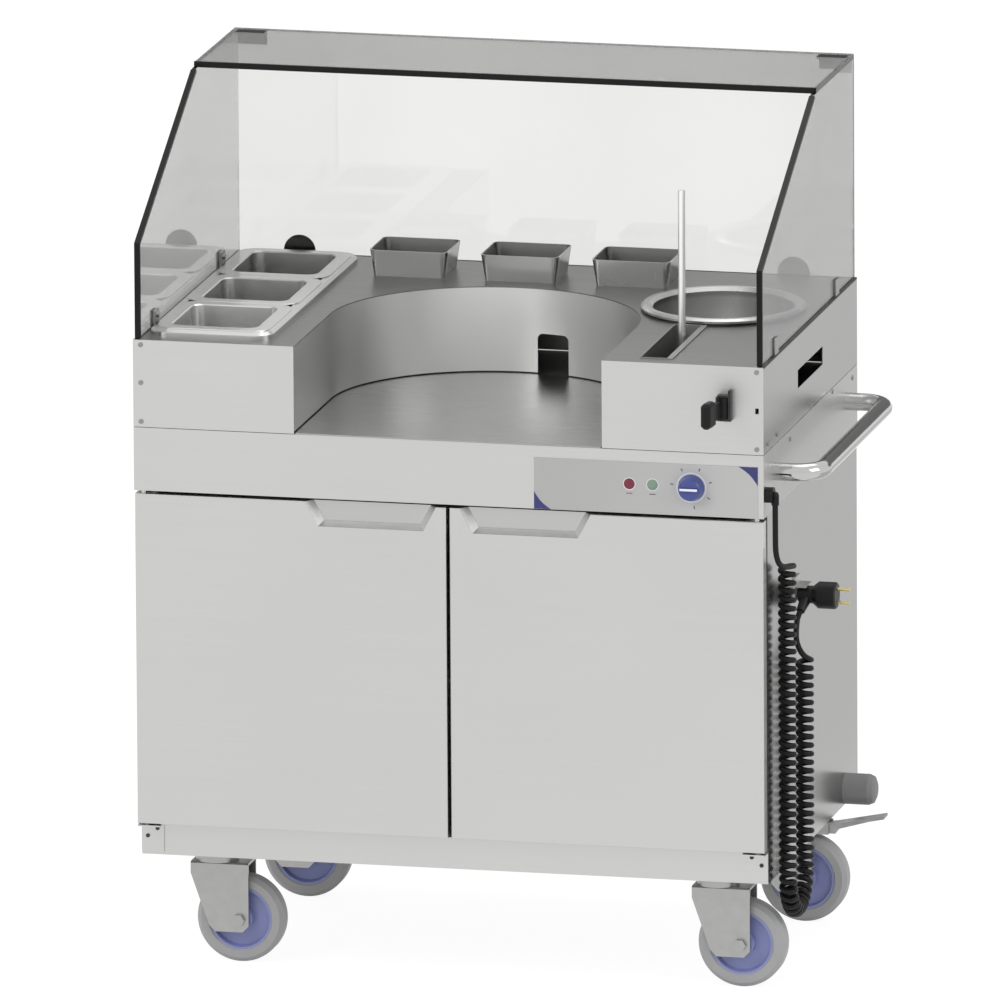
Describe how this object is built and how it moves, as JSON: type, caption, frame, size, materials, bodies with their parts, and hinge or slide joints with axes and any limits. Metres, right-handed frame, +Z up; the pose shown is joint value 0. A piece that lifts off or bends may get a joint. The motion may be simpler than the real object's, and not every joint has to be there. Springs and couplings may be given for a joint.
{
  "type": "carving trolley",
  "caption": "Heated carving trolley: closed cabinet with doors, raised deck round a D-shaped carving recess, food pans, glass hood, push handle, curly cord and braked castors.",
  "frame": {"origin": "on the floor, under the middle of the trolley's bounding box without its cord", "axes": "+Z up, -Y towards the doors, +X towards the push handle"},
  "size_m": [1.0201, 0.6766, 1.229],
  "materials": {
    "steel": "satin brushed",
    "polished_steel": "polished",
    "zinc": "zinc plated",
    "heater_steel": "heat tinted",
    "black_plastic": "matte",
    "cord_rubber": "satin",
    "dark_rubber": "matte",
    "grey_tyre": "matte",
    "blue_wheel": "satin",
    "blue_plastic": "gloss",
    "red_lens": "gloss",
    "green_lens": "gloss",
    "panel_print": "satin foil",
    "clear_glass": "clear"
  },
  "bodies": {
    "cabinet": {"base_tray": "steel", "side_panel_left": "polished_steel", "side_panel_right": "polished_steel", "back_panel": "steel", "inner_shelf": "steel", "hinge_brackets": "steel", "castor_plates": "zinc", "bumpers": "dark_rubber", "push_handle": "polished_steel", "table_top": "steel", "heating_element": "heater_steel", "recess_plate": "steel", "recess_wall": "steel", "housing_deck": "steel", "housing_fronts": "steel", "housing_side_left": "steel", "housing_side_right": "polished_steel", "housing_back": "steel", "housing_screws": "polished_steel", "gn_frame": "polished_steel", "knife_trough": "steel", "upright_rod": "polished_steel", "side_glasses": "clear_glass", "top_glass": "clear_glass", "back_glass": "clear_glass", "edge_trim": "black_plastic", "glass_fittings": "polished_steel", "control_panel": "panel_print", "red_lamp": "red_lens", "green_lamp": "green_lens", "cord_gland": "black_plastic", "plug": "black_plastic", "plug_holder": "steel", "power_cord": "cord_rubber"},
    "door_left": {"door_left": "steel"},
    "door_right": {"door_right": "steel"},
    "thermostat_knob": {"thermostat_knob": "blue_plastic"},
    "locking_lever": {"locking_lever": "black_plastic"},
    "gn_pan_front": {"gn_pan_front": "polished_steel"},
    "gn_pan_middle": {"gn_pan_middle": "polished_steel"},
    "gn_pan_rear": {"gn_pan_rear": "polished_steel"},
    "dish_left": {"dish_left": "polished_steel"},
    "dish_middle": {"dish_middle": "polished_steel"},
    "dish_right": {"dish_right": "polished_steel"},
    "sauce_pot": {"sauce_pot": "polished_steel"},
    "castor_front_left": {"castor_fork_front_left": "zinc"},
    "wheel_front_left": {"wheel_hub_front_left": "blue_wheel", "wheel_tyre_front_left": "grey_tyre"},
    "castor_front_right": {"castor_fork_front_right": "zinc"},
    "wheel_front_right": {"wheel_hub_front_right": "blue_wheel", "wheel_tyre_front_right": "grey_tyre"},
    "castor_rear_left": {"castor_fork_rear_left": "zinc"},
    "wheel_rear_left": {"wheel_hub_rear_left": "blue_wheel", "wheel_tyre_rear_left": "grey_tyre"},
    "brake_rear_left": {"brake_pedal_rear_left": "zinc"},
    "castor_rear_right": {"castor_fork_rear_right": "zinc"},
    "wheel_rear_right": {"wheel_hub_rear_right": "blue_wheel", "wheel_tyre_rear_right": "grey_tyre"},
    "brake_rear_right": {"brake_pedal_rear_right": "zinc"}
  },
  "joints": [
    {"name": "door_left_hinge", "type": "hinge", "parent": "cabinet", "child": "door_left", "pos_m": [-0.45275, -0.25292, 0.45], "axis": [0, 0, -1], "range_deg": [0, 110]},
    {"name": "door_right_hinge", "type": "hinge", "parent": "cabinet", "child": "door_right", "pos_m": [0.42325, -0.25292, 0.45], "axis": [0, 0, 1], "range_deg": [0, 110]},
    {"name": "thermostat_turn", "type": "hinge", "parent": "cabinet", "child": "thermostat_knob", "pos_m": [0.33275, -0.26292, 0.7324], "axis": [0, 1, 0], "range_deg": [0, 270]},
    {"name": "lever_swing", "type": "hinge", "parent": "cabinet", "child": "locking_lever", "pos_m": [0.37875, -0.27292, 0.85], "axis": [0, 0, -1], "range_deg": [0, 75]},
    {"name": "pan_front_lift", "type": "slide", "parent": "cabinet", "child": "gn_pan_front", "axis": [0, 0, 1], "range_m": [0, 0.12]},
    {"name": "pan_middle_lift", "type": "slide", "parent": "cabinet", "child": "gn_pan_middle", "axis": [0, 0, 1], "range_m": [0, 0.12]},
    {"name": "pan_rear_lift", "type": "slide", "parent": "cabinet", "child": "gn_pan_rear", "axis": [0, 0, 1], "range_m": [0, 0.12]},
    {"name": "dish_left_lift", "type": "slide", "parent": "cabinet", "child": "dish_left", "axis": [0, 0, 1], "range_m": [0, 0.1]},
    {"name": "dish_middle_lift", "type": "slide", "parent": "cabinet", "child": "dish_middle", "axis": [0, 0, 1], "range_m": [0, 0.1]},
    {"name": "dish_right_lift", "type": "slide", "parent": "cabinet", "child": "dish_right", "axis": [0, 0, 1], "range_m": [0, 0.1]},
    {"name": "pot_lift", "type": "slide", "parent": "cabinet", "child": "sauce_pot", "axis": [0, 0, 1], "range_m": [0, 0.15]},
    {"name": "castor_front_left_swivel", "type": "hinge", "parent": "cabinet", "child": "castor_front_left", "pos_m": [-0.37475, -0.15992, 0.14], "axis": [0, 0, 1], "continuous": true},
    {"name": "wheel_front_left_roll", "type": "hinge", "parent": "castor_front_left", "child": "wheel_front_left", "pos_m": [-0.33875, -0.15992, 0.0625], "axis": [0, 1, 0], "continuous": true},
    {"name": "castor_front_right_swivel", "type": "hinge", "parent": "cabinet", "child": "castor_front_right", "pos_m": [0.34525, -0.15992, 0.14], "axis": [0, 0, 1], "continuous": true},
    {"name": "wheel_front_right_roll", "type": "hinge", "parent": "castor_front_right", "child": "wheel_front_right", "pos_m": [0.38125, -0.15992, 0.0625], "axis": [0, 1, 0], "continuous": true},
    {"name": "castor_rear_left_swivel", "type": "hinge", "parent": "cabinet", "child": "castor_rear_left", "pos_m": [-0.37475, 0.23408, 0.14], "axis": [0, 0, 1], "continuous": true},
    {"name": "wheel_rear_left_roll", "type": "hinge", "parent": "castor_rear_left", "child": "wheel_rear_left", "pos_m": [-0.33875, 0.23408, 0.0625], "axis": [0, 1, 0], "continuous": true},
    {"name": "brake_rear_left_press", "type": "hinge", "parent": "castor_rear_left", "child": "brake_rear_left", "pos_m": [-0.30875, 0.23408, 0.134], "axis": [0, 1, 0], "range_deg": [0, 12]},
    {"name": "castor_rear_right_swivel", "type": "hinge", "parent": "cabinet", "child": "castor_rear_right", "pos_m": [0.34525, 0.23408, 0.14], "axis": [0, 0, 1], "continuous": true},
    {"name": "wheel_rear_right_roll", "type": "hinge", "parent": "castor_rear_right", "child": "wheel_rear_right", "pos_m": [0.38125, 0.23408, 0.0625], "axis": [0, 1, 0], "continuous": true},
    {"name": "brake_rear_right_press", "type": "hinge", "parent": "castor_rear_right", "child": "brake_rear_right", "pos_m": [0.41125, 0.23408, 0.134], "axis": [0, 1, 0], "range_deg": [0, 12]}
  ]
}
